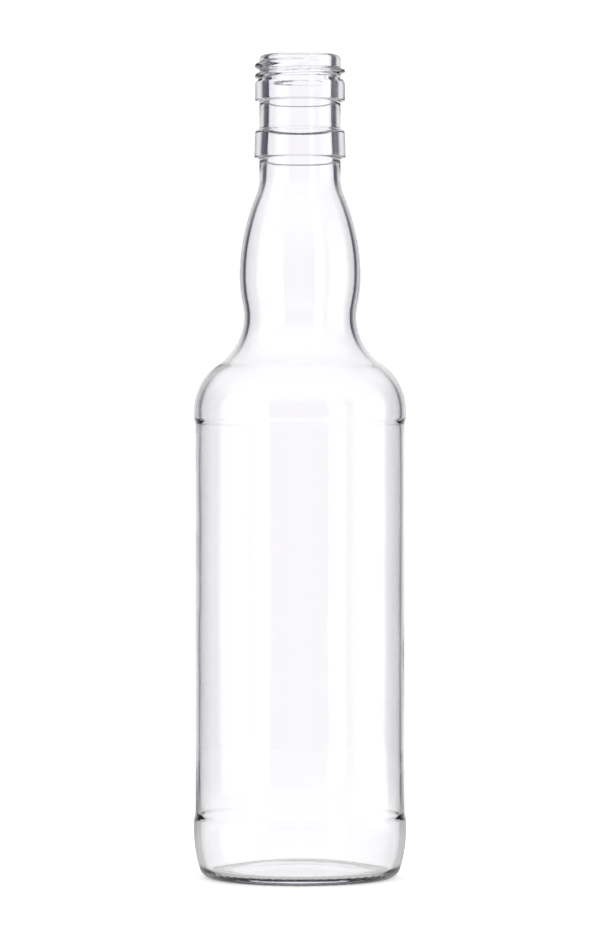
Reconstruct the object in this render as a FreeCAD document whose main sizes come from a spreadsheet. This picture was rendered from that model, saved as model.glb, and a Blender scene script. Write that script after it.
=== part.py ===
import FreeCAD, Part
import math
import os

import Sketcher
from FreeCAD import Placement, Rotation, Vector

# An empty clear glass spirit bottle, blown in one piece and standing without its closure.
# Millimetres, +Z up, the foot on z = 0 and the bottle's axis on Z.
#
# A half outline in the XZ plane is turned into the solid outside. Two rings and a helical
# thread are added round the mouth, and a second outline then hollows the glass from the floor
# to the lip. The shoulder and the swelling neck are a chain of five arcs, each tangent to the
# next, so the heights where they meet follow from the radii and diameters below.

SIZES = {
    # foot
    "punt_depth": 3.5,
    "bearing_width": 2.4,
    "foot_corner_radius": 4.8,
    "heel_radius": 47.0,
    "heel_length": 17.0,
    # body, with a label panel set back between two bands
    "body_diameter": 74.8,
    "lower_band_length": 4.2,
    "lower_step_length": 1.2,
    "panel_recess": 0.5,
    "panel_edge_radius": 0.4,
    "panel_length": 138.2,
    "upper_step_length": 0.8,
    "upper_band_length": 3.6,
    # shoulder and swelling neck
    "shoulder_radius": 19.5,
    "bulb_diameter": 42.8,
    "waist_recess": 1.55,
    "waist_radius": 20.3,
    "bulb_lower_radius": 46.3,
    "bulb_upper_radius": 73.6,
    "neck_sweep_radius": 18.4,
    "neck_diameter": 28.8,
    "neck_length": 6.4,
    # rings and lip; the closure's bead and thread are rolled on to these
    "carrying_ring_projection": 1.75,
    "carrying_ring_top_projection": 1.5,
    "carrying_ring_length": 9.7,
    "groove_length": 10.4,
    "locking_ring_projection": 1.55,
    "locking_ring_length": 6.3,
    "locking_ring_slope_length": 1.6,
    "thread_land_length": 9.8,
    "ring_edge_radius": 0.4,
    "ring_root_radius": 0.8,
    "lip_radius": 1.4,
    # thread
    "thread_height": 1.6,
    "thread_base_width": 2.5,
    "thread_crest_radius": 0.5,
    "thread_pitch": 3.6,
    "thread_turns": 1.95,
    "thread_start_angle": -50.0,
    "thread_fade_angle": 70.0,
    "thread_end_below_lip": 2.6,
    # inside
    "wall": 2.15,
    "floor_edge_height": 2.8,
    "floor_centre_height": 6.0,
    "floor_corner_radius": 3.0,
    "neck_wall": 2.4,
    "throat_wall": 3.3,
    "throat_length": 24.0,
    "throat_edge_radius": 0.9,
}

RING_EMBED = 1.0      # how far a ring's section reaches into the neck it is fused to
THREAD_EMBED = 0.5    # the same for the thread's section
THREAD_SINK = 0.15    # how far the crest lies below the neck's surface at the thread's two ends
PATH_STEP = 10.0      # degrees between the points that the thread's path is drawn through
PATH_SPAN = 90.0      # most degrees that one edge of the path goes round
PAST_LIP = 1.0        # how far the cutting outline runs out of the mouth
MATCH = 0.01          # how near an edge is to the place where it is looked for
LEAST_THREAD = 0.4    # the least share of the thread's swept volume that stands on the neck

MOUTH = "outside.Constraints.mouth_height / 1 mm"
LOCKING_LOW = f"{MOUTH} - sizes.thread_land_length - sizes.locking_ring_length"
LOWER_STEP = "sizes.heel_length + sizes.lower_band_length"
UPPER_STEP = f"{LOWER_STEP} + sizes.lower_step_length + sizes.panel_length + sizes.upper_step_length"
SHOULDER_START = f"{UPPER_STEP} + sizes.upper_band_length"
BODY_RADIUS = "sizes.body_diameter / 2"
PANEL_RADIUS = f"{BODY_RADIUS} - sizes.panel_recess"
NECK_RADIUS = "sizes.neck_diameter / 2"
THROAT_RADIUS = f"{NECK_RADIUS} - sizes.throat_wall"

H_AXIS, V_AXIS = -1, -2
START, END, CENTRE = 1, 2, 3


class Outline:
    """A closed sketch in a body's XZ plane, drawn as one chain of lines and arcs.

    Places are only a starting guess, and every size is a constraint bound to the sheet.
    """

    def __init__(self, body, sheet, name, start):
        self.sheet = sheet
        self.sketch = body.newObject("Sketcher::SketchObject", name)
        plane = next(part for part in body.Origin.OriginFeatures if part.Role == "XZ_Plane")
        self.sketch.AttachmentSupport = [(plane, "")]
        self.sketch.MapMode = "FlatFace"
        self.pen = start
        self.pieces = []

    def constrain(self, kind, *items):
        return self.sketch.addConstraint(Sketcher.Constraint(kind, *items))

    def bind(self, kind, *items):
        """Add a dimension; the last item is the expression that gives its value."""
        expression = items[-1]
        number = self.constrain(kind, *items[:-1], worth(self.sheet, expression))
        self.sketch.setExpression(f"Constraints[{number}]", expression)
        return number

    def add(self, shape, entry, leave, end, smooth):
        """Add one piece to the chain, tied to the one before it, and return its number."""
        piece = self.sketch.addGeometry(shape, False)
        if self.pieces:
            before, _, before_leave = self.pieces[-1]
            kind = "Tangent" if smooth else "Coincident"
            self.constrain(kind, before, before_leave, piece, entry)
        self.pieces.append((piece, entry, leave))
        self.pen = end
        return piece

    def line(self, end, smooth=False):
        shape = Part.LineSegment(Vector(*self.pen, 0), Vector(*end, 0))
        return self.add(shape, START, END, end, smooth)

    def upright(self, height, smooth=False):
        """Add a line along the bottle's axis, up to the given height."""
        piece = self.line((self.pen[0], height), smooth)
        self.constrain("Vertical", piece)
        return piece

    def arc(self, centre, end, left, smooth=True):
        """Add an arc that turns left or right on its way from the pen to its end."""
        angles = [math.atan2(y - centre[1], x - centre[0]) for x, y in (self.pen, end)]
        radius = math.dist(centre, self.pen)
        circle = Part.Circle(Vector(*centre, 0), Vector(0, 0, 1), radius)
        if left:
            return self.add(Part.ArcOfCircle(circle, *angles), START, END, end, smooth)
        return self.add(Part.ArcOfCircle(circle, *reversed(angles)), END, START, end, smooth)

    def entry(self, piece):
        return next((number, entry) for number, entry, _ in self.pieces if number == piece)

    def leave(self, piece):
        return next((number, leave) for number, _, leave in self.pieces if number == piece)

    def measure_height(self, piece, name):
        """Name the height of a line's end, for other features to read."""
        number = self.constrain("DistanceY", piece, END, self.pen[1])
        self.sketch.setDriving(number, False)
        self.sketch.renameConstraint(number, name)

    def close(self):
        """Draw the last line, back to the start of the first piece."""
        first, entry, _ = self.pieces[0]
        start = self.sketch.getPoint(first, entry)
        last = self.line((start.x, start.y))
        self.constrain("Coincident", last, END, first, entry)

    def finish(self):
        """Return the sketch, and stop if its sizes don't settle every point."""
        freedom = self.sketch.solve()
        if freedom != 0 or not self.sketch.FullyConstrained:
            raise RuntimeError(f"the sketch {self.sketch.Name} isn't fully constrained")
        return self.sketch


def worth(sheet, expression):
    """Return what an expression is worth, as a plain number."""
    return float(sheet.evalExpression(expression))


def read_sizes(sheet):
    """Return every driving size by its name."""
    return {name: worth(sheet, f"sizes.{name}") for name in SIZES}


def make_sheet(doc):
    """Put every driving size into a spreadsheet cell with an alias."""
    sheet = doc.addObject("Spreadsheet::Sheet", "sizes")
    for row, (alias, size) in enumerate(SIZES.items(), start=1):
        sheet.set(f"A{row}", alias)
        sheet.set(f"B{row}", str(size))
        sheet.setAlias(f"B{row}", alias)
    doc.recompute()
    return sheet


def sweep_arcs(sheet, start_height, inset, neck_radius):
    """Return the centres and ends of the five arcs from the body's wall up to the neck.

    inset is how far the arcs lie inside the outer surface. Each arc starts where the one
    before it ends, and the outer and inner sweeps share their centres up to the bulb.
    """
    size = read_sizes(sheet)
    body = size["body_diameter"] / 2 - inset
    bulb = size["bulb_diameter"] / 2 - inset
    waist = bulb - size["waist_recess"]
    radii = (
        size["shoulder_radius"] - inset,
        size["waist_radius"] + inset,
        size["bulb_lower_radius"] - inset,
        size["bulb_upper_radius"] - inset,
        size["neck_sweep_radius"] + size["neck_diameter"] / 2 - neck_radius,
    )
    shoulder_r, waist_r, lower_r, upper_r, neck_r = radii

    def above(centre, radius, across, other_radius):
        """Return the higher centre, across from the axis, of an arc that touches this one."""
        reach = radius + other_radius
        return across, centre[1] + math.sqrt(reach**2 - (across - centre[0])**2)

    def touch(centre, radius, other, other_radius):
        """Return where two arcs that bend opposite ways meet."""
        share = radius / (radius + other_radius)
        return tuple(a + (b - a) * share for a, b in zip(centre, other))

    shoulder = (body - shoulder_r, start_height)
    hollow = above(shoulder, shoulder_r, waist + waist_r, waist_r)
    lower = above(hollow, waist_r, bulb - lower_r, lower_r)
    upper = (bulb - upper_r, lower[1])
    neck = above(upper, upper_r, neck_radius + neck_r, neck_r)
    return [
        (shoulder, touch(shoulder, shoulder_r, hollow, waist_r), True),
        (hollow, touch(hollow, waist_r, lower, lower_r), False),
        (lower, (bulb, lower[1]), True),
        (upper, touch(upper, upper_r, neck, neck_r), True),
        (neck, (neck_radius, neck[1]), False),
    ]


def draw_sweep(outline, sheet, start_height, inset, neck_wall):
    """Draw the shoulder, waist, bulb and neck as five tangent arcs and size them."""
    neck_radius = worth(sheet, f"{NECK_RADIUS} - {neck_wall}")
    arcs = sweep_arcs(sheet, start_height, worth(sheet, inset), neck_radius)
    shoulder, hollow, lower, upper, neck = [outline.arc(*arc) for arc in arcs]
    outline.bind("Radius", shoulder, f"sizes.shoulder_radius - {inset}")
    outline.bind("Radius", hollow, f"sizes.waist_radius + {inset}")
    outline.bind("Radius", lower, f"sizes.bulb_lower_radius - {inset}")
    outline.bind("Radius", upper, f"sizes.bulb_upper_radius - {inset}")
    outline.bind("Radius", neck, f"sizes.neck_sweep_radius + {neck_wall}")
    outline.bind("DistanceX", hollow, CENTRE,
                 "sizes.bulb_diameter / 2 - sizes.waist_recess + sizes.waist_radius")
    outline.bind("DistanceX", lower, END, f"sizes.bulb_diameter / 2 - {inset}")
    outline.constrain("Horizontal", lower, CENTRE, lower, END)
    outline.bind("DistanceX", *outline.leave(neck), f"{NECK_RADIUS} - {neck_wall}")
    outline.constrain("Horizontal", neck, CENTRE, *outline.leave(neck))


def foot_centres(sheet, inset, corner_radius, corner_height):
    """Return the centres of the heel's arc and of the corner arc that touches it inside."""
    heel_radius = worth(sheet, f"sizes.heel_radius - {inset}")
    heel = (worth(sheet, f"{BODY_RADIUS} - sizes.heel_radius"),
            worth(sheet, "sizes.heel_length"))
    reach = heel_radius - corner_radius
    across = heel[0] + math.sqrt(reach**2 - (heel[1] - corner_height)**2)
    corner = (across, corner_height)
    share = heel_radius / reach
    meeting = tuple(a + (b - a) * share for a, b in zip(heel, corner))
    return heel, corner, meeting


def make_outside(body, sheet):
    """Turn the half outline of the solid glass, from the punt over the foot to the lip."""
    size = read_sizes(sheet)
    body_radius = size["body_diameter"] / 2
    panel_radius = body_radius - size["panel_recess"]
    corner_radius = size["foot_corner_radius"]
    heel, corner, meeting = foot_centres(sheet, 0, corner_radius, corner_radius)
    bearing_outer = corner[0]
    bearing_inner = bearing_outer - size["bearing_width"]
    punt_radius = (bearing_inner**2 + size["punt_depth"]**2) / (2 * size["punt_depth"])

    outline = Outline(body, sheet, "outside", (0.0, size["punt_depth"]))
    punt = outline.arc((0.0, size["punt_depth"] - punt_radius), (bearing_inner, 0.0), False)
    outline.constrain("PointOnObject", *outline.entry(punt), V_AXIS)
    outline.constrain("PointOnObject", punt, CENTRE, V_AXIS)
    outline.constrain("PointOnObject", *outline.leave(punt), H_AXIS)
    outline.bind("DistanceY", *outline.entry(punt), "sizes.punt_depth")

    bearing = outline.line((bearing_outer, 0.0))
    outline.constrain("Horizontal", bearing)
    outline.bind("DistanceX", bearing, START, bearing, END, "sizes.bearing_width")

    foot = outline.arc(corner, meeting, True)
    outline.bind("Radius", foot, "sizes.foot_corner_radius")
    heel_arc = outline.arc(heel, (body_radius, heel[1]), True)
    outline.bind("Radius", heel_arc, "sizes.heel_radius")
    outline.bind("DistanceY", heel_arc, END, "sizes.heel_length")

    height = heel[1] + size["lower_band_length"]
    lower_band = outline.upright(height, smooth=True)
    outline.bind("DistanceX", lower_band, END, BODY_RADIUS)
    outline.bind("DistanceY", lower_band, START, lower_band, END, "sizes.lower_band_length")
    height += size["lower_step_length"]
    lower_step = outline.line((panel_radius, height))
    outline.bind("DistanceY", lower_step, START, lower_step, END, "sizes.lower_step_length")
    height += size["panel_length"]
    panel = outline.upright(height)
    outline.bind("DistanceX", panel, END, PANEL_RADIUS)
    outline.bind("DistanceY", panel, START, panel, END, "sizes.panel_length")
    height += size["upper_step_length"]
    upper_step = outline.line((body_radius, height))
    outline.bind("DistanceY", upper_step, START, upper_step, END, "sizes.upper_step_length")
    height += size["upper_band_length"]
    upper_band = outline.upright(height)
    outline.bind("DistanceX", upper_band, END, BODY_RADIUS)
    outline.bind("DistanceY", upper_band, START, upper_band, END, "sizes.upper_band_length")
    draw_sweep(outline, sheet, height, "0", "0")

    straight = ("sizes.neck_length + sizes.carrying_ring_length + sizes.groove_length"
                " + sizes.locking_ring_length + sizes.thread_land_length - sizes.lip_radius")
    neck = outline.upright(outline.pen[1] + worth(sheet, straight))
    outline.bind("DistanceY", neck, START, neck, END, straight)
    lip_centre = (outline.pen[0] - size["lip_radius"], outline.pen[1])
    mouth = lip_centre[1] + size["lip_radius"]
    lip = outline.arc(lip_centre, (lip_centre[0], mouth), True)
    outline.bind("Radius", lip, "sizes.lip_radius")
    top = outline.line((0.0, mouth), smooth=True)
    outline.constrain("Horizontal", top)
    outline.constrain("PointOnObject", top, END, V_AXIS)
    outline.close()
    outline.measure_height(top, "mouth_height")
    return outline.finish()


def revolve(body, sketch, name, kind="PartDesign::Revolution"):
    """Turn a sketch about the bottle's axis, as added or as removed glass."""
    feature = body.newObject(kind, name)
    feature.Profile = sketch
    feature.ReferenceAxis = (sketch, ["V_Axis"])
    feature.Angle = 360.0
    sketch.Visibility = False
    return feature


def make_ring(body, sheet, name, corners):
    """Add a ring round the neck. corners run up its outside as (radius, height)."""
    inner = f"{NECK_RADIUS} - {RING_EMBED}"
    corners = [(inner, corners[0][1]), *corners, (inner, corners[-1][1])]
    places = [tuple(worth(sheet, item) for item in corner) for corner in corners]
    outline = Outline(body, sheet, f"{name}_section", places[0])
    for place, (radius, height) in zip(places[1:], corners[1:]):
        side = outline.line(place)
        outline.bind("DistanceX", side, END, radius)
        outline.bind("DistanceY", side, END, height)
    first = outline.pieces[0][0]
    outline.bind("DistanceX", first, START, corners[0][0])
    outline.bind("DistanceY", first, START, corners[0][1])
    outline.close()
    return revolve(body, outline.finish(), name)


def round_edges(body, name, base, places, radius):
    """Round the full circles of the base that lie at the given (radius, height) places."""
    found = []
    for number, edge in enumerate(base.Shape.Edges, start=1):
        if edge.Degenerated or not isinstance(edge.Curve, Part.Circle):
            continue
        here = (edge.Curve.Radius, edge.Curve.Center.z)
        if any(math.dist(here, place) < MATCH for place in places):
            found.append(f"Edge{number}")
    if len(found) != len(places):
        raise RuntimeError(f"{name}: {len(found)} edges found for {len(places)} places")
    fillet = body.newObject("PartDesign::Fillet", name)
    fillet.Base = (base, found)
    fillet.setExpression("Radius", radius)
    return fillet


def thread_path(doc, sheet, mouth):
    """Draw the helix that the thread follows; it sinks into the neck at both ends."""
    size = read_sizes(sheet)
    root = size["neck_diameter"] / 2
    sink = size["thread_height"] + THREAD_SINK
    turn = 360.0 * size["thread_turns"]
    top = mouth - size["thread_end_below_lip"]
    steps = math.ceil(turn / PATH_STEP)
    points = []
    for step in range(steps + 1):
        along = turn * step / steps
        near_end = min(along, turn - along) / size["thread_fade_angle"]
        fade = max(0.0, 1.0 - near_end)
        radius = root - sink * fade**2 * (3 - 2 * fade)
        angle = math.radians(size["thread_start_angle"] + along)
        height = top - size["thread_pitch"] * (turn - along) / 360.0
        points.append(Vector(radius * math.cos(angle), radius * math.sin(angle), height))
    curve = Part.BSplineCurve()
    curve.interpolate(points)
    spans = math.ceil(turn / PATH_SPAN)
    length = (curve.LastParameter - curve.FirstParameter) / spans
    edges = []
    for span in range(spans):
        piece = curve.copy()
        start = curve.FirstParameter + span * length
        piece.segment(start, start + length)
        edges.append(piece.toShape())
    path = doc.addObject("Part::Feature", "thread_path")
    path.Shape = Part.Wire(edges)
    path.Visibility = False
    return path, points[0]


def make_thread(doc, body, sheet, mouth):
    """Sweep the thread's section round the neck, from the locking ring to the lip."""
    path, first = thread_path(doc, sheet, mouth)
    crest_radius = worth(sheet, "sizes.thread_crest_radius")
    half_width = worth(sheet, "sizes.thread_base_width / 2")
    middle = first.z
    root = math.hypot(first.x, first.y)
    foot = root - THREAD_EMBED
    crest = root + worth(sheet, "sizes.thread_height")
    centre = (crest - crest_radius, middle)
    reach = math.hypot(centre[0] - foot, half_width)
    lean = math.atan2(half_width, centre[0] - foot) - math.asin(crest_radius / reach)
    flat = math.sqrt(reach**2 - crest_radius**2)
    above = (foot + flat * math.cos(lean), middle + half_width - flat * math.sin(lean))
    below = (above[0], 2 * middle - above[1])

    outline = Outline(body, sheet, "thread_section", (foot, middle - half_width))
    outline.sketch.AttachmentOffset = Placement(Vector(), Rotation(Vector(0, 1, 0), 0))
    outline.sketch.setExpression("AttachmentOffset.Rotation.Angle", "sizes.thread_start_angle * 1 deg")
    lower = outline.line(below)
    round_crest = outline.arc(centre, above, True)
    upper = outline.line((foot, middle + half_width), smooth=True)
    outline.close()
    height = (f"{MOUTH} - sizes.thread_end_below_lip"
              " - sizes.thread_pitch * sizes.thread_turns")
    outline.bind("Radius", round_crest, "sizes.thread_crest_radius")
    outline.bind("DistanceX", round_crest, CENTRE,
                 f"{NECK_RADIUS} - {THREAD_SINK} - sizes.thread_crest_radius")
    outline.bind("DistanceY", round_crest, CENTRE, height)
    base = f"{NECK_RADIUS} - sizes.thread_height - {THREAD_SINK + THREAD_EMBED}"
    outline.bind("DistanceX", lower, START, base)
    outline.bind("DistanceX", upper, END, base)
    outline.bind("DistanceY", lower, START, f"{height} - sizes.thread_base_width / 2")
    outline.bind("DistanceY", upper, END, f"{height} + sizes.thread_base_width / 2")

    thread = body.newObject("PartDesign::AdditivePipe", "thread")
    thread.Profile = outline.finish()
    thread.Spine = (path, [f"Edge{number}" for number, _ in enumerate(path.Shape.Edges, start=1)])
    thread.Mode = "Frenet"
    outline.sketch.Visibility = False
    return thread


def make_cavity(body, sheet, mouth):
    """Hollow the glass: a domed floor, the body's wall, the neck's sweep and the throat."""
    size = read_sizes(sheet)
    corner_radius = size["floor_corner_radius"]
    floor = size["floor_centre_height"]
    corner_height = size["floor_edge_height"] + corner_radius
    heel, corner, meeting = foot_centres(sheet, size["wall"], corner_radius, corner_height)
    drop = corner[1] - floor
    dome_radius = (corner[0]**2 + drop**2 - corner_radius**2) / (2 * (corner_radius - drop))
    dome_centre = (0.0, floor - dome_radius)
    share = dome_radius / (dome_radius + corner_radius)
    dome_end = tuple(a + (b - a) * share for a, b in zip(dome_centre, corner))
    inner_radius = size["body_diameter"] / 2 - size["wall"]
    throat_radius = worth(sheet, THROAT_RADIUS)
    edge_radius = size["throat_edge_radius"]

    outline = Outline(body, sheet, "inside", (0.0, floor))
    dome = outline.arc(dome_centre, dome_end, False)
    outline.constrain("PointOnObject", *outline.entry(dome), V_AXIS)
    outline.constrain("PointOnObject", dome, CENTRE, V_AXIS)
    outline.bind("DistanceY", *outline.entry(dome), "sizes.floor_centre_height")
    floor_corner = outline.arc(corner, meeting, True)
    outline.bind("Radius", floor_corner, "sizes.floor_corner_radius")
    outline.bind("DistanceY", floor_corner, CENTRE,
                 "sizes.floor_edge_height + sizes.floor_corner_radius")
    heel_arc = outline.arc(heel, (inner_radius, heel[1]), True)
    outline.bind("Radius", heel_arc, "sizes.heel_radius - sizes.wall")
    outline.bind("DistanceY", heel_arc, END, "sizes.heel_length")
    wall = outline.upright(worth(sheet, SHOULDER_START), smooth=True)
    outline.bind("DistanceX", wall, END, f"{BODY_RADIUS} - sizes.wall")
    outline.bind("DistanceY", wall, END, SHOULDER_START)
    draw_sweep(outline, sheet, outline.pen[1], "sizes.wall", "sizes.neck_wall")

    taper = outline.line((throat_radius, mouth - size["throat_length"]))
    outline.bind("DistanceX", taper, END, THROAT_RADIUS)
    outline.bind("DistanceY", taper, END, f"{MOUTH} - sizes.throat_length")
    outline.upright(mouth - edge_radius)
    edge_centre = (throat_radius + edge_radius, mouth - edge_radius)
    edge = outline.arc(edge_centre, (edge_centre[0], mouth), False)
    outline.bind("Radius", edge, "sizes.throat_edge_radius")
    outline.bind("DistanceY", *outline.leave(edge), MOUTH)
    outline.constrain("Vertical", edge, CENTRE, *outline.leave(edge))
    outline.upright(mouth + PAST_LIP)
    lid = outline.line((0.0, mouth + PAST_LIP))
    outline.constrain("Horizontal", lid)
    outline.bind("DistanceY", lid, END, f"{MOUTH} + {PAST_LIP}")
    outline.constrain("PointOnObject", lid, END, V_AXIS)
    outline.close()
    return revolve(body, outline.finish(), "cavity", "PartDesign::Groove")


def make_bottle(doc, sheet):
    """Build the bottle's one body and return it."""
    body = doc.addObject("PartDesign::Body", "bottle")
    body.Label = "bottle"
    solid = revolve(body, make_outside(body, sheet), "solid_glass")
    doc.recompute()
    mouth = worth(sheet, MOUTH)

    carrying_low = f"{LOCKING_LOW} - sizes.groove_length - sizes.carrying_ring_length"
    carrying_top = f"{LOCKING_LOW} - sizes.groove_length"
    locking_top = f"{MOUTH} - sizes.thread_land_length"
    slope_top = f"{locking_top} + sizes.locking_ring_slope_length"
    locking_radius = f"{NECK_RADIUS} + sizes.locking_ring_projection"
    carrying_ring = [(f"{NECK_RADIUS} + sizes.carrying_ring_projection", carrying_low),
                     (f"{NECK_RADIUS} + sizes.carrying_ring_top_projection", carrying_top)]
    locking_ring = [(locking_radius, LOCKING_LOW),
                    (locking_radius, locking_top),
                    (NECK_RADIUS, slope_top)]
    make_ring(body, sheet, "carrying_ring", carrying_ring)
    doc.recompute()
    rings = make_ring(body, sheet, "locking_ring", locking_ring)
    doc.recompute()

    def places(corners):
        return [tuple(worth(sheet, item) for item in corner) for corner in corners]

    edges = places(carrying_ring + locking_ring[:2])
    edged = round_edges(body, "ring_edges", rings, edges, "sizes.ring_edge_radius")
    doc.recompute()
    roots = places([(NECK_RADIUS, low) for low in (carrying_low, carrying_top, LOCKING_LOW)])
    rooted = round_edges(body, "ring_roots", edged, roots, "sizes.ring_root_radius")
    doc.recompute()
    steps = places([(BODY_RADIUS, LOWER_STEP),
                    (PANEL_RADIUS, f"{LOWER_STEP} + sizes.lower_step_length"),
                    (PANEL_RADIUS, f"{UPPER_STEP} - sizes.upper_step_length"),
                    (BODY_RADIUS, UPPER_STEP)])
    round_edges(body, "panel_edges", rooted, steps, "sizes.panel_edge_radius")
    doc.recompute()
    make_thread(doc, body, sheet, mouth)
    doc.recompute()
    make_cavity(body, sheet, mouth)
    doc.recompute()
    return body


def check(doc, body):
    """Stop if any object failed, the thread is lost or the bottle isn't one sound solid."""
    for item in doc.Objects:
        if {"Invalid", "Error"} & set(item.State):
            raise RuntimeError(f"{item.Label} failed: {item.State}")
    thread = doc.getObject("thread")
    gained = thread.Shape.Volume - thread.BaseFeature.Shape.Volume
    if gained < LEAST_THREAD * thread.AddSubShape.Volume:
        raise RuntimeError(f"the thread added only {gained:.1f} cubic millimetres")
    shape = body.Shape
    if shape.isNull() or not shape.isValid() or len(shape.Solids) != 1:
        raise RuntimeError(f"{body.Label} isn't one valid solid")


def main():
    doc = FreeCAD.newDocument("spirit_bottle")
    sheet = make_sheet(doc)
    bottle = make_bottle(doc, sheet)
    check(doc, bottle)
    os.makedirs("parts", exist_ok=True)
    bottle.Shape.exportStep(f"parts/{bottle.Label}.step")
    print(f"{bottle.Label}: {bottle.Shape.Volume / 1000:.1f} ml of glass")


main()
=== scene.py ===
"""An empty clear glass spirit bottle on a pale floor in soft studio light.

The glass is modelled as one closed skin, as it was blown: a half outline is drawn from the
foot's centre, up the outside, over the lip and down the inside, and is then spun round.
Sizes are in metres. The bottle stands on z = 0 with its axis on Z.

The light is fixed round the bottle and is the same whichever side it is seen from. What shows
straight through the glass is a pale surround, and what the glass reflects is a dim room with a
lit backdrop and two soft boxes, so the edges of the clear glass come out dark.
"""
import math

import bpy
from bpy.props import FloatProperty, FloatVectorProperty, IntProperty, PointerProperty
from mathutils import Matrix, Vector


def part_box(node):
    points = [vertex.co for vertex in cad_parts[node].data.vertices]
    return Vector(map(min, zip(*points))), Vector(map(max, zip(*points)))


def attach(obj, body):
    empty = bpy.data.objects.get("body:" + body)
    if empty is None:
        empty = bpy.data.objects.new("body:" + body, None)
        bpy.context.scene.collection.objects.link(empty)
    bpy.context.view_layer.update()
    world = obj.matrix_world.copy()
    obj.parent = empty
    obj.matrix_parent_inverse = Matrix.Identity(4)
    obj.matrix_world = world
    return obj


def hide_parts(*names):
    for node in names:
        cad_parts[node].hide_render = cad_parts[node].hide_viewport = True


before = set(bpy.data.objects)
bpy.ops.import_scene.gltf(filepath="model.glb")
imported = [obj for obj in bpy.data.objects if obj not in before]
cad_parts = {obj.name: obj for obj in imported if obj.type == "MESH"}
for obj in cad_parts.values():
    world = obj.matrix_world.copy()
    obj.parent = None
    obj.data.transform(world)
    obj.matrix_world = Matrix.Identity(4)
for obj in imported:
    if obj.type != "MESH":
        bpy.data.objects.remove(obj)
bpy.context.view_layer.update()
GLASS_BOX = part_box("bottle")

bl_info = {
    "name": "Spirit bottle",
    "version": (1, 0, 0),
    "blender": (4, 5, 0),
    "location": "3D View > Sidebar > Bottle",
    "description": "Models an empty clear glass spirit bottle and lights it",
    "category": "Object",
}


def length(name, default, description):
    """A size in metres, as a property."""
    return FloatProperty(name=name, description=description, default=default, min=0.0,
                         unit="LENGTH", precision=5)


def number(name, default, description, low=0.0):
    """A plain factor or count of turns, as a property."""
    return FloatProperty(name=name, description=description, default=default, min=low)


def angle(name, default, description):
    """An angle, as a property; the default is in degrees."""
    return FloatProperty(name=name, description=description, default=math.radians(default),
                         subtype="ANGLE")


def colour(name, default, description):
    """A colour, as a property."""
    return FloatVectorProperty(name=name, description=description, default=default, size=3,
                               min=0.0, max=1.0, subtype="COLOR")


class BottleShape(bpy.types.PropertyGroup):
    """Sizes of the blown shape. The overall width and height come from the frame."""

    body_radius: length("Body radius", GLASS_BOX[1].x, "Outside radius of the two bands")
    mouth_height: length("Mouth height", GLASS_BOX[1].z, "Height of the lip's top")
    punt_depth: length("Punt depth", 0.0035, "How far the foot's centre is pushed up")
    bearing_width: length("Bearing width", 0.0024, "Width of the flat ring it stands on")
    foot_corner: length("Foot corner", 0.0048, "Radius round the foot's edge")
    heel_radius: length("Heel radius", 0.047, "Radius of the heel's curve")
    heel_top: length("Heel top", 0.017, "Height where the heel meets the body")
    lower_band: length("Lower band", 0.0042, "Length of the band under the label panel")
    lower_step: length("Lower step", 0.0012, "Length of the slope up to the panel")
    panel_recess: length("Panel recess", 0.0005, "How far the label panel is set back")
    panel_length: length("Panel length", 0.1382, "Length of the label panel")
    upper_step: length("Upper step", 0.0008, "Length of the slope above the panel")
    step_round: length("Step rounding", 0.0007, "How far each step's ends are rounded")
    upper_band: length("Upper band", 0.0036, "Length of the band over the label panel")
    shoulder_radius: length("Shoulder radius", 0.0195, "Radius of the shoulder's curve")
    bulb_radius: length("Bulb radius", 0.0214, "Widest radius of the swelling neck")
    waist_recess: length("Waist recess", 0.00155, "How much slimmer the waist is than the bulb")
    waist_radius: length("Waist curve", 0.0203, "Radius of the hollow curve at the waist")
    bulb_lower: length("Bulb lower curve", 0.0463, "Radius of the bulb's curve under its middle")
    bulb_upper: length("Bulb upper curve", 0.0736, "Radius of the bulb's curve over its middle")
    neck_sweep: length("Neck sweep", 0.0184, "Radius of the hollow curve into the neck")
    neck_radius: length("Neck radius", 0.0144, "Outside radius of the neck and finish")
    neck_length: length("Neck length", 0.0064, "Straight neck under the carrying ring")
    lip_radius: length("Lip radius", 0.0014, "Radius over the lip's outer edge")


class BottleInside(bpy.types.PropertyGroup):
    """Sizes of the hollow."""

    wall: length("Wall", 0.00215, "Thickness of the body's wall")
    floor_edge: length("Floor edge", 0.0028, "Height of the floor's lowest ring")
    floor_centre: length("Floor centre", 0.006, "Height of the floor's middle")
    floor_corner: length("Floor corner", 0.003, "Radius where the floor meets the wall")
    neck_wall: length("Neck wall", 0.0024, "Thickness where the neck turns straight")
    throat_wall: length("Throat wall", 0.0033, "Thickness of the finish")
    throat_length: length("Throat length", 0.024, "Straight bore under the lip")
    throat_edge: length("Throat edge", 0.0009, "Radius over the lip's inner edge")


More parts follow.
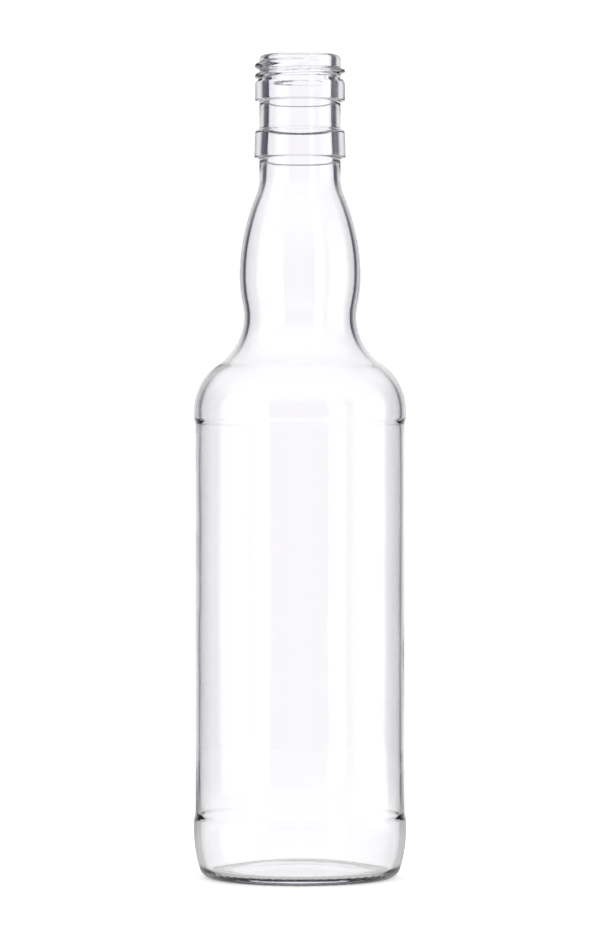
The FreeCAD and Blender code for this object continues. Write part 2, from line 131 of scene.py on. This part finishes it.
class BottleFinish(bpy.types.PropertyGroup):
    """Sizes of the rings and the thread that a closure is rolled on to."""

    carrying_low: length("Carrying ring", 0.00175, "Projection at the carrying ring's foot")
    carrying_top: length("Carrying ring top", 0.0015, "Projection at the carrying ring's top")
    carrying_length: length("Carrying ring length", 0.0097, "Length of the carrying ring")
    groove_length: length("Groove length", 0.0104, "Length of the groove between the rings")
    locking: length("Locking ring", 0.00155, "Projection of the locking ring")
    locking_length: length("Locking ring length", 0.0063, "Length of the locking ring")
    locking_slope: length("Locking slope", 0.0016, "Length of the slope over the locking ring")
    edge: length("Ring edge", 0.0004, "Radius over a ring's edge")
    top_edge: length("Ring top edge", 0.0007, "Radius over the carrying ring's top edge")
    root: length("Ring root", 0.0008, "Radius at a ring's root")
    thread_height: length("Thread height", 0.0016, "How far the thread stands off the neck")
    thread_base: length("Thread base", 0.0025, "Width of the thread at its root")
    thread_crest: length("Thread crest", 0.0005, "Width of the thread's flat crest")
    thread_pitch: length("Thread pitch", 0.0036, "Rise of the thread in one turn")
    thread_below_lip: length("Thread end", 0.0026, "Depth of the thread's top end under the lip")
    thread_turns: number("Thread turns", 1.95, "Turns of the thread")
    thread_start: angle("Thread start", -50.0, "Where the thread starts, from +X")
    thread_fade: angle("Thread fade", 70.0, "How far round each end of the thread fades")


class BottleMarks(bpy.types.PropertyGroup):
    """Marks that the mould and the blowing leave on the glass."""

    seam: length("Seam height", 0.00005, "Height of the two mould seams")
    knurl: length("Knurl depth", 0.00012, "Depth of the notches round the bearing ring")
    notch_every: IntProperty(name="Notch spacing", default=4, min=2,
                             description="How many of the skin's meridians go to one notch")
    ripple: length("Ripple", 0.00025, "How much the blown inside wavers")
    ripple_size: length("Ripple size", 0.03, "Width of the inside's waves")


class GlassLook(bpy.types.PropertyGroup):
    """Colours and numbers of the glass."""

    tint: colour("Tint", (0.72, 0.70, 0.86), "Colour that deep glass keeps")
    depth: number("Depth", 12.0, "How soon the tint builds up, per metre")
    skin: length("Skin wave", 0.00008, "Depth of the skin's fine waves")
    skin_size: length("Skin wave size", 0.018, "Width of the skin's fine waves")
    worn: number("Worn", 0.35, "Roughness of the specks worn into the bearing ring")
    worn_height: length("Worn height", 0.0011, "Height up to which the foot is worn")
    speck_size: length("Speck size", 0.0012, "Width of the worn specks")
    index: number("Refractive index", 1.52, "How strongly the glass bends light", 1.0)


class StudioLook(bpy.types.PropertyGroup):
    """The light round the bottle."""

    glow: number("Backdrop", 1.13, "Brightness of the white backdrop")
    wall: colour("Wall", (0.995, 0.98, 1.0), "Hue of the pale surround that shows through glass")
    grey: colour("Room", (0.09, 0.085, 0.115), "Colour of the dim room beside the bottle")
    dark: colour("High wall", (0.17, 0.165, 0.195), "Colour of the surround high up")
    soft: number("Soft box", 1.3, "Brightness of the soft boxes")
    ceiling: number("Ceiling", 0.6, "Brightness overhead")
    wall_top: angle("Wall top", 40.0, "Height up to which the surround is pale")
    dark_from: angle("Dark from", 72.0, "Height from which the room over it is dark")
    edge_near: angle("Backdrop edge", 5.0, "Where the backdrop starts to fade")
    edge_far: angle("Backdrop end", 35.0, "Where the backdrop ends")
    floor: number("Floor", 0.9, "Paleness of the floor")
    # Share of painted glow: seen through the glass the floor glows evenly pale, covering the
    # bottle's shadow under it.
    painted_glow_through_glass: number("Floor through glass", 0.9, "How evenly pale it is through the glass")
    floor_glow: number("Floor glow", 0.3, "Light that the floor gives off")
    floor_radius: length("Floor radius", 0.7, "Radius of the floor")
    camera_height: length("Camera height", 0.1438, "Height of the camera")
    camera_distance: length("Camera distance", 1.480, "Distance of the camera from the axis")
    camera_lens: number("Lens", 160.57, "Focal length in millimetres on the default sensor")


TURN = 2 * math.pi
QUARTER = TURN / 4

SEGMENTS = 224              # meridians round the bottle
FINE = 0.0002               # spacing of rows under the thread
SAME = 1e-6                 # points nearer than this are one point
TOUCH = 0.00005             # what is lower than this stands on the ground
LEAN = 0.3                  # share of a wall's normal that points sideways, at least
ON_NECK = 0.999             # share of the neck's radius beyond which a point is on its outside
EDGE_CUT = 0.3              # share of a ring edge's radius that its cut corner takes off
THREAD_LAND = 3             # pitches under the lip within which the thread lies
THREAD_SUNK = 0.1           # share of the thread's height that its ends sink under the neck
FLANK_SPREAD = 1.15         # how far the thread's flanks ease out, against their plain width

SOFT_BOXES = ((-148, -144, -126, -122), (68, 74, 112, 124))
# degrees from the backdrop's middle: each box starts, is full, starts to fade and ends
HALF_LIT = 0.7              # share of the backdrop's light midway along its fading edge
OVERHEAD = (0.15, 0.55)     # sines of the heights between which walls turn into ceiling
REFLECTED_FLOOR_GLOW = (0.12, 0.5)    # distances between which the floor's painted glow, seen in reflections, darkens from a brighter painted patch near the bottle to the painted walls
FLOOR_SIDES = 96            # sides of the round floor
WORN_FROM = 0.0002          # height up to which the specks are worn in full
SPECKS = (0.4, 0.6)         # levels of the noise between which a speck starts and is full
COLOUR_A, COLOUR_B = 6, 7   # the Mix node's colour sockets, whose names are not their own
COLOUR_OUT = 2              # and its colour result


class Outline:
    """A half outline in the XZ plane, drawn by extruding one point, and the skin spun from it."""

    def __init__(self, name, start):
        bpy.ops.mesh.primitive_plane_add(size=FINE, location=(start[0], 0.0, start[1]))
        self.piece = bpy.context.object
        self.piece.name = self.piece.data.name = name
        bpy.ops.object.transform_apply(location=True, rotation=True, scale=True)
        bpy.ops.object.mode_set(mode="EDIT")
        bpy.ops.mesh.select_all(action="SELECT")
        bpy.ops.mesh.merge(type="CENTER")
        self.at = start

    def line(self, end, rows=1):
        """A straight run."""
        step = [(b - a) / rows for a, b in zip(self.at, end)]
        for _ in range(rows):
            bpy.ops.mesh.extrude_region_move(
                TRANSFORM_OT_translate={"value": (step[0], 0.0, step[1])})
        self.at = end

    def ease(self, end, rows):
        """A step in radius that starts and ends along the wall."""
        start = self.at
        for row in range(1, rows + 1):
            share = row / rows
            eased = share * share * (3 - 2 * share)
            self.line((start[0] + (end[0] - start[0]) * eased,
                       start[1] + (end[1] - start[1]) * share))

    def arc(self, centre, start, end, rows):
        """An arc from one angle to another; angles run from +X towards +Z."""
        reach = math.hypot(self.at[0] - centre[0], self.at[1] - centre[1])
        bpy.ops.mesh.spin(steps=rows, angle=end - start, center=(centre[0], 0.0, centre[1]),
                          axis=(0.0, 1.0, 0.0), use_auto_merge=False)
        self.at = (centre[0] + reach * math.cos(end), centre[1] + reach * math.sin(end))

    def spin_round(self):
        """Spin the outline round the axis into one closed skin, and return the piece."""
        bpy.ops.mesh.select_all(action="SELECT")
        bpy.ops.mesh.spin(steps=SEGMENTS, angle=TURN, center=(0.0, 0.0, 0.0),
                          axis=(0.0, 0.0, 1.0), use_auto_merge=True)
        bpy.ops.mesh.select_all(action="SELECT")
        bpy.ops.mesh.remove_doubles(threshold=SAME)
        bpy.ops.mesh.normals_make_consistent(inside=False)
        bpy.ops.object.mode_set(mode="OBJECT")
        return self.piece


def above(centre, reach, x):
    """Centre at x whose distance from a centre below it is reach."""
    return (x, centre[1] + math.sqrt(reach**2 - (x - centre[0])**2))


def bearing(centre, other):
    """Angle from one centre to another."""
    return math.atan2(other[1] - centre[1], other[0] - centre[0])


class Sweep:
    """Centres of the chain of arcs from the shoulder to the neck, and where they meet."""

    def __init__(self, shape, start):
        self.shoulder = (shape.body_radius - shape.shoulder_radius, start)
        waist_x = shape.bulb_radius - shape.waist_recess + shape.waist_radius
        self.waist = above(self.shoulder, shape.shoulder_radius + shape.waist_radius, waist_x)
        self.lower = above(self.waist, shape.waist_radius + shape.bulb_lower,
                           shape.bulb_radius - shape.bulb_lower)
        self.upper = (shape.bulb_radius - shape.bulb_upper, self.lower[1])

    def draw(self, outline, neck, up):
        """Draw the chain; neck is the centre of the last arc, which ends facing the axis."""
        joins = [(self.shoulder, 0.0, bearing(self.shoulder, self.waist), 18),
                 (self.waist, math.pi + bearing(self.shoulder, self.waist),
                  math.pi + bearing(self.lower, self.waist), 14),
                 (self.lower, bearing(self.lower, self.waist), 0.0, 10),
                 (self.upper, 0.0, bearing(self.upper, neck), 16),
                 (neck, math.pi + bearing(self.upper, neck), math.pi, 8)]
        if not up:
            joins = [(centre, end, start, rows) for centre, start, end, rows in joins[::-1]]
        for centre, start, end, rows in joins:
            outline.arc(centre, start, end, rows)


def ring(outline, radius, low, top, bottom_out, top_out, finish, slope=None):
    """A ring round the neck with rounded edges; its top is square, or slopes back to the neck."""
    edge, root, soft = finish.edge, finish.root, finish.top_edge
    outline.line((radius, low - root))
    outline.arc((radius + root, low - root), math.pi, QUARTER, rows=4)
    outline.line((radius + bottom_out - edge, low))
    outline.arc((radius + bottom_out - edge, low + edge), -QUARTER, 0.0, rows=4)
    outline.line((radius + top_out, top - (soft if slope is None else edge)), rows=5)
    if slope is None:
        outline.arc((radius + top_out - soft, top - soft), 0.0, QUARTER, rows=7)
        outline.line((radius + root, top))
        outline.arc((radius + root, top + root), -QUARTER, -math.pi, rows=4)
    else:
        outline.line((radius + top_out - edge * EDGE_CUT, top + edge * EDGE_CUT))
        outline.line((radius, top + slope), rows=round(slope / FINE))


def draw_outside(outline, shape, inside, finish):
    """The foot, heel, label panel, shoulder, neck and finish, up to the lip.

    Returns the chain of arcs and the heel's centre, which the hollow follows.
    """
    heel = (shape.body_radius - shape.heel_radius, shape.heel_top)
    foot_x = heel[0] + math.sqrt((shape.heel_radius - shape.foot_corner)**2
                                 - (shape.heel_top - shape.foot_corner)**2)
    foot = (foot_x, shape.foot_corner)
    rim = foot_x - shape.bearing_width
    punt_radius = (rim**2 + shape.punt_depth**2) / (2 * shape.punt_depth)
    punt = (0.0, shape.punt_depth - punt_radius)
    outline.arc(punt, QUARTER, bearing(punt, (rim, 0.0)), rows=12)
    outline.line((foot_x, 0.0), rows=4)
    outline.arc(foot, -QUARTER, bearing(heel, foot), rows=9)
    outline.arc(heel, bearing(heel, foot), 0.0, rows=8)
    z = shape.heel_top + shape.lower_band
    panel = shape.body_radius - shape.panel_recess
    soft = shape.step_round
    outline.line((shape.body_radius, z - soft), rows=3)
    z += shape.lower_step
    outline.ease((panel, z + soft), rows=12)
    z += shape.panel_length
    outline.line((panel, z - soft), rows=24)
    z += shape.upper_step
    outline.ease((shape.body_radius, z + soft), rows=12)
    z += shape.upper_band
    outline.line((shape.body_radius, z), rows=3)
    sweep = Sweep(shape, z)
    neck = above(sweep.upper, shape.bulb_upper + shape.neck_sweep,
                 shape.neck_radius + shape.neck_sweep)
    sweep.draw(outline, neck, True)
    z = neck[1] + shape.neck_length
    ring(outline, shape.neck_radius, z, z + finish.carrying_length,
         finish.carrying_low, finish.carrying_top, finish)
    z += finish.carrying_length + finish.groove_length
    ring(outline, shape.neck_radius, z, z + finish.locking_length, finish.locking,
         finish.locking, finish, finish.locking_slope)
    land_end = shape.mouth_height - shape.lip_radius
    outline.line((shape.neck_radius, land_end), rows=round((land_end - outline.at[1]) / FINE))
    outline.arc((shape.neck_radius - shape.lip_radius, land_end), 0.0, QUARTER, rows=6)
    outline.line((shape.neck_radius - inside.throat_wall + inside.throat_edge,
                  shape.mouth_height), rows=2)
    return sweep, heel


def draw_inside(outline, shape, inside, sweep, heel):
    """The throat, the neck's and body's hollow, and the domed floor, down to its middle."""
    throat = shape.neck_radius - inside.throat_wall
    outline.arc((throat + inside.throat_edge, shape.mouth_height - inside.throat_edge),
                QUARTER, math.pi, rows=5)
    outline.line((throat, shape.mouth_height - inside.throat_length), rows=10)
    neck_radius = shape.neck_radius - inside.neck_wall
    curve = shape.neck_radius + shape.neck_sweep - neck_radius
    neck = above(sweep.upper, shape.bulb_upper - inside.wall + curve,
                 neck_radius + curve)
    outline.line((neck_radius, neck[1]), rows=6)
    sweep.draw(outline, neck, False)
    outline.line((shape.body_radius - inside.wall, heel[1]), rows=36)
    corner_z = inside.floor_edge + inside.floor_corner
    reach = shape.heel_radius - inside.wall - inside.floor_corner
    corner = (heel[0] + math.sqrt(reach**2 - (heel[1] - corner_z)**2), corner_z)
    outline.arc(heel, 0.0, bearing(heel, corner), rows=8)
    drop = corner_z - inside.floor_centre
    dome_radius = ((corner[0]**2 + drop**2 - inside.floor_corner**2)
                   / (2 * (inside.floor_corner - drop)))
    dome = (0.0, inside.floor_centre - dome_radius)
    outline.arc(corner, bearing(heel, corner), bearing(corner, dome), rows=10)
    outline.arc(dome, bearing(dome, corner), QUARTER, rows=12)


def deselect():
    """Leave nothing selected, so an operator acts only on what is chosen next."""
    bpy.ops.object.select_all(action="DESELECT")


def group(piece, name, weights):
    """Add a vertex group that a modifier follows; weights is {point: weight}."""
    made = piece.vertex_groups.new(name=name)
    for point, weight in weights.items():
        if weight > 0.0:
            made.add([point], weight, "REPLACE")


def displace(piece, name, strength, texture=None, direction="NORMAL"):
    """Push the grouped skin out along its normals or up, and apply that."""
    push = piece.modifiers.new(name, "DISPLACE")
    push.vertex_group = name
    push.strength = strength
    push.direction = direction
    push.mid_level = 0.5 if texture else 0.0
    if texture:
        push.texture = texture
        push.texture_coords = "LOCAL"
    bpy.ops.object.modifier_apply(modifier=push.name)


def thread_reach(finish, shape, place):
    """How far the thread's surface stands off the neck at a place on the finish."""
    turn = math.atan2(place.y, place.x) - finish.thread_start
    whole = TURN * finish.thread_turns
    top = shape.mouth_height - finish.thread_below_lip
    sunk = THREAD_SUNK * finish.thread_height
    best = 0.0
    along = turn % TURN
    while along <= whole:
        height = top - finish.thread_pitch * (whole - along) / TURN
        fade = max(0.0, 1.0 - min(along, whole - along) / finish.thread_fade)
        crest = finish.thread_height - (finish.thread_height + sunk) * fade**2 * (3 - 2 * fade)
        off = abs(place.z - height) - finish.thread_crest / 2
        flank = (finish.thread_base - finish.thread_crest) / 2 * FLANK_SPREAD
        share = min(max(off / flank, 0.0), 1.0)
        fall = finish.thread_height * (1 - math.cos(math.pi * share)) / 2
        best = max(best, crest - fall)
        along += TURN
    return best


def raise_thread(piece, shape, finish):
    """Push the skin of the finish, with its fine rows, out to the thread."""
    top = shape.mouth_height - shape.lip_radius
    low = top - finish.thread_pitch * THREAD_LAND
    reach = {}
    for point in piece.data.vertices:
        place = point.co
        radius = math.hypot(place.x, place.y)
        if low < place.z < top and radius > shape.neck_radius * ON_NECK:
            stand = shape.neck_radius + thread_reach(finish, shape, place) - radius
            lean = math.hypot(point.normal.x, point.normal.y)
            reach[point.index] = stand * lean / finish.thread_height
    group(piece, "thread", reach)
    displace(piece, "thread", finish.thread_height)


def press_marks(piece, shape, inside, finish, marks):
    """The mould's two seams, the notches of the bearing ring and the wavering inside."""
    seam, notch, hollow = {}, {}, {}
    neck_end = shape.mouth_height - inside.throat_length
    finish_low = neck_end - finish.groove_length - finish.carrying_length
    for point in piece.data.vertices:
        place = point.co
        radius = math.hypot(place.x, place.y)
        spoke = round(math.atan2(place.y, place.x) / TURN * SEGMENTS) % SEGMENTS
        lean = point.normal.x * place.x + point.normal.y * place.y
        on_side = spoke in (0, SEGMENTS // 2) and shape.foot_corner < place.z < finish_low
        if on_side and lean > LEAN * radius:
            seam[point.index] = 1.0
        if place.z < TOUCH and spoke % marks.notch_every == 0:
            notch[point.index] = 1.0
        if place.z < finish_low and lean < -LEAN * radius:
            rise = (place.z - inside.floor_centre) / marks.ripple_size
            fall = (finish_low - place.z) / marks.ripple_size
            hollow[point.index] = max(0.0, min(rise, fall, 1.0))
    group(piece, "seam", seam)
    displace(piece, "seam", marks.seam)
    group(piece, "notch", notch)
    displace(piece, "notch", marks.knurl, direction="Z")
    waves = bpy.data.textures.new("blown waves", "CLOUDS")
    waves.noise_scale = marks.ripple_size
    waves.noise_depth = 0
    group(piece, "hollow", hollow)
    displace(piece, "hollow", marks.ripple, waves)


class BOTTLE_OT_blow_glass(bpy.types.Operator):
    """Model the bottle's glass as one closed skin, with its thread and mould marks"""

    bl_idname = "bottle.blow_glass"
    bl_label = "Blow glass"

    def execute(self, context):
        scene = context.scene
        shape, inside = scene.bottle_shape, scene.bottle_inside
        finish, marks = scene.bottle_finish, scene.bottle_marks
        deselect()
        outline = Outline("spirit_bottle_glass", (0.0, shape.punt_depth))
        sweep, heel = draw_outside(outline, shape, inside, finish)
        draw_inside(outline, shape, inside, sweep, heel)
        piece = outline.spin_round()
        raise_thread(piece, shape, finish)
        press_marks(piece, shape, inside, finish, marks)
        piece.data.materials.append(glass_material(scene.glass_look))
        bpy.ops.object.shade_smooth()
        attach(piece, "root")
        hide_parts("bottle")
        return {"FINISHED"}


class Nodes:
    """A node tree with short ways to add and join nodes."""

    def __init__(self, tree):
        self.tree = tree

    def add(self, kind, **settings):
        """A node of this kind, with its settings."""
        node = self.tree.nodes.new("ShaderNode" + kind)
        for name, value in settings.items():
            setattr(node, name, value)
        return node

    def feed(self, socket, value):
        """Join a socket to another, or set it."""
        if isinstance(value, bpy.types.NodeSocket):
            self.tree.links.new(value, socket)
        else:
            socket.default_value = value

    def maths(self, operation, first, second=0.0):
        """The result of a sum on one or two values."""
        node = self.add("Math", operation=operation)
        self.feed(node.inputs[0], first)
        self.feed(node.inputs[1], second)
        return node.outputs[0]

    def any_of(self, count):
        """1 where a whole count is not 0."""
        return self.maths("GREATER_THAN", count, 0.5)

    def blend(self, share, first, second):
        """A colour between two others."""
        node = self.add("Mix", data_type="RGBA")
        self.feed(node.inputs["Factor"], share)
        self.feed(node.inputs[COLOUR_A], first)
        self.feed(node.inputs[COLOUR_B], second)
        return node.outputs[COLOUR_OUT]

    def spread(self, value, low, high, smooth=True):
        """0 at low and 1 at high."""
        node = self.add("MapRange", interpolation_type="SMOOTHSTEP" if smooth else "LINEAR")
        self.feed(node.inputs["Value"], value)
        node.inputs["From Min"].default_value = low
        node.inputs["From Max"].default_value = high
        return node.outputs[0]

    def noise(self, place, size, detail):
        """Soft noise about 0.5, with waves of about this size in metres."""
        node = self.add("TexNoise")
        self.feed(node.inputs["Vector"], place)
        node.inputs["Scale"].default_value = 1.0 / size
        node.inputs["Detail"].default_value = detail
        return node.outputs[0]


def glass_material(look):
    """Clear flint glass, faintly tinted where deep, wavy as blown and worn where it stands."""
    material = bpy.data.materials.new("flint glass")
    material.use_nodes = True
    net = Nodes(material.node_tree)
    shader = material.node_tree.nodes["Principled BSDF"]
    shader.inputs["Base Color"].default_value = (1.0, 1.0, 1.0, 1.0)
    shader.inputs["IOR"].default_value = look.index
    shader.inputs["Transmission Weight"].default_value = 1.0
    place = net.add("TexCoord").outputs["Object"]
    parts = net.add("SeparateXYZ")
    net.feed(parts.inputs[0], place)
    above_foot = net.spread(parts.outputs["Z"], WORN_FROM, look.worn_height)
    stands = net.maths("SUBTRACT", 1.0, above_foot)
    specks = net.spread(net.noise(place, look.speck_size, detail=2.0), *SPECKS)
    net.feed(shader.inputs["Roughness"],
             net.maths("MULTIPLY", net.maths("MULTIPLY", stands, specks), look.worn))
    skin = net.add("Bump")
    skin.inputs["Strength"].default_value = 1.0
    skin.inputs["Distance"].default_value = look.skin
    net.feed(skin.inputs["Height"], net.noise(place, look.skin_size, detail=1.0))
    net.feed(shader.inputs["Normal"], skin.outputs[0])
    depth = net.add("VolumeAbsorption")
    depth.inputs["Color"].default_value = (*look.tint, 1.0)
    depth.inputs["Density"].default_value = look.depth
    net.feed(material.node_tree.nodes["Material Output"].inputs["Volume"], depth.outputs["Volume"])
    return material


def plain(level):
    """A grey as a colour for a socket."""
    return (level, level, level, 1.0)


def pale_wall(look):
    """The colour that shows straight through the glass."""
    return (*(look.glow * part for part in look.wall), 1.0)


def room_walls(net, look, x, y):
    """The dim room with its backdrop and soft boxes, by the angle from the backdrop's middle."""
    grey, soft, lit = (*look.grey, 1.0), plain(look.soft), plain(look.glow)
    near, far = math.degrees(look.edge_near), math.degrees(look.edge_far)
    half = (near + far) / 2
    fading = tuple(a * HALF_LIT + b * (1 - HALF_LIT) for a, b in zip(lit, grey))
    turn = net.maths("ARCTAN2", x, y)
    share = net.spread(turn, -math.pi, math.pi, smooth=False)
    boxes = [[(off, grey), (on, soft), (last, soft), (over, grey)]
             for off, on, last, over in SOFT_BOXES]
    backdrop = [(-far, grey), (-half, fading), (-near, lit),
                (near, lit), (half, fading), (far, grey)]
    stops = [(-180, grey), *boxes[0], *backdrop, *boxes[1], (180, grey)]
    node = net.add("ValToRGB")
    net.feed(node.inputs["Fac"], share)
    elements = node.color_ramp.elements
    for count, (degrees, value) in enumerate(stops):
        place = degrees / 360.0 + 0.5
        item = elements[count] if count < 2 else elements.new(place)
        item.position = place
        item.color = value
    return node.outputs["Color"]


def studio_world(look):
    """A pale surround that shows through the glass, and a dim room that it reflects."""
    world = bpy.data.worlds.new("studio")
    world.use_nodes = True
    net = Nodes(world.node_tree)
    place = net.add("TexCoord").outputs["Generated"]
    parts = net.add("SeparateXYZ")
    net.feed(parts.inputs[0], place)
    height = net.spread(parts.outputs["Z"], math.sin(look.wall_top), math.sin(look.dark_from))
    straight = net.blend(height, pale_wall(look), (*look.dark, 1.0))
    walls = room_walls(net, look, parts.outputs["X"], parts.outputs["Y"])
    rise = net.maths("ABSOLUTE", parts.outputs["Z"])
    over = net.spread(rise, *OVERHEAD)
    reflected = net.blend(over, walls, plain(look.ceiling))
    paths = net.add("LightPath")
    bounced = net.any_of(paths.outputs["Glossy Depth"])
    spilled = net.any_of(paths.outputs["Diffuse Depth"])
    open_air = net.maths("MAXIMUM", paths.outputs["Is Camera Ray"], spilled)
    through = net.blend(bounced, straight, reflected)
    background = world.node_tree.nodes["Background"]
    net.feed(background.inputs["Color"], net.blend(open_air, through, plain(look.glow)))
    return world


def floor_material(look):
    """A pale lit floor; through the glass it mostly glows evenly pale, a painted glow over the
    bottle's shadow, and in its reflections it glows dim like the room, a painted picture of the
    room's walls.
    """
    material = bpy.data.materials.new("pale floor")
    material.use_nodes = True
    net = Nodes(material.node_tree)
    shader = material.node_tree.nodes["Principled BSDF"]
    shader.inputs["Base Color"].default_value = plain(look.floor)
    shader.inputs["Roughness"].default_value = 1.0
    shader.inputs["Specular IOR Level"].default_value = 0.0
    shader.inputs["Emission Color"].default_value = plain(1.0)
    shader.inputs["Emission Strength"].default_value = look.floor_glow
    place = net.add("TexCoord").outputs["Object"]
    parts = net.add("SeparateXYZ")
    net.feed(parts.inputs[0], place)
    walls = room_walls(net, look, parts.outputs["X"], parts.outputs["Y"])
    away = net.add("VectorMath", operation="LENGTH")
    net.feed(away.inputs[0], place)
    far = net.spread(away.outputs["Value"], *REFLECTED_FLOOR_GLOW)
    # Painted glow: seen in a reflection the floor glows with a painted picture of the room, its
    # backdrop and soft boxes, brighter near the bottle.
    paths = net.add("LightPath")
    bounced = net.any_of(paths.outputs["Glossy Depth"])
    room = net.add("Emission")
    net.feed(room.inputs["Color"], net.blend(bounced, pale_wall(look),
                                             net.blend(far, plain(look.ceiling), walls)))
    # Painted glow: seen through the glass the floor mostly glows evenly pale instead of showing
    # the bottle's shadow.
    glassed = net.any_of(paths.outputs["Transmission Depth"])
    painted_glow_share = net.maths("MULTIPLY", glassed, look.painted_glow_through_glass)
    mix = net.add("MixShader")
    net.feed(mix.inputs[0], net.maths("MAXIMUM", bounced, painted_glow_share))
    net.feed(mix.inputs[1], shader.outputs[0])
    net.feed(mix.inputs[2], room.outputs[0])
    net.feed(material.node_tree.nodes["Material Output"].inputs["Surface"], mix.outputs[0])
    return material


class BOTTLE_OT_set_stage(bpy.types.Operator):
    """Set the floor, the studio light and the camera"""

    bl_idname = "bottle.set_stage"
    bl_label = "Set stage"

    def execute(self, context):
        look = context.scene.studio_look
        deselect()
        bpy.ops.mesh.primitive_circle_add(vertices=FLOOR_SIDES, radius=look.floor_radius,
                                          fill_type="NGON")
        floor = context.object
        floor.name = "floor"
        floor.data.materials.append(floor_material(look))
        context.scene.world = studio_world(look)
        bpy.ops.object.camera_add(location=(0.0, -look.camera_distance, look.camera_height),
                                  rotation=(QUARTER, 0.0, 0.0))
        camera = context.object
        camera.data.lens = look.camera_lens
        context.scene.camera = camera
        context.scene.view_settings.view_transform = "Standard"
        return {"FINISHED"}


class BOTTLE_PT_sizes(bpy.types.Panel):
    """Sizes, colours and steps of the bottle"""

    bl_idname = "BOTTLE_PT_sizes"
    bl_label = "Spirit bottle"
    bl_space_type = "VIEW_3D"
    bl_region_type = "UI"
    bl_category = "Bottle"

    def draw(self, context):
        for name, group_class in GROUPS.items():
            box = self.layout.box()
            values = getattr(context.scene, name)
            for item in group_class.__annotations__:
                box.prop(values, item)
        for step in STEPS:
            self.layout.operator(step.bl_idname)


GROUPS = {"bottle_shape": BottleShape, "bottle_inside": BottleInside,
          "bottle_finish": BottleFinish, "bottle_marks": BottleMarks,
          "glass_look": GlassLook, "studio_look": StudioLook}
STEPS = (BOTTLE_OT_set_stage, BOTTLE_OT_blow_glass)
CLASSES = (*GROUPS.values(), *STEPS, BOTTLE_PT_sizes)


def register():
    """Add the classes, and their properties to the scene."""
    for item in CLASSES:
        bpy.utils.register_class(item)
    for name, group_class in GROUPS.items():
        setattr(bpy.types.Scene, name, PointerProperty(type=group_class))


def unregister():
    """Take away what register added."""
    for name in GROUPS:
        delattr(bpy.types.Scene, name)
    for item in reversed(CLASSES):
        bpy.utils.unregister_class(item)


def main():
    """Set the stage and model the bottle."""
    register()
    bpy.ops.bottle.set_stage()
    bpy.ops.bottle.blow_glass()


if __name__ == "__main__":
    main()
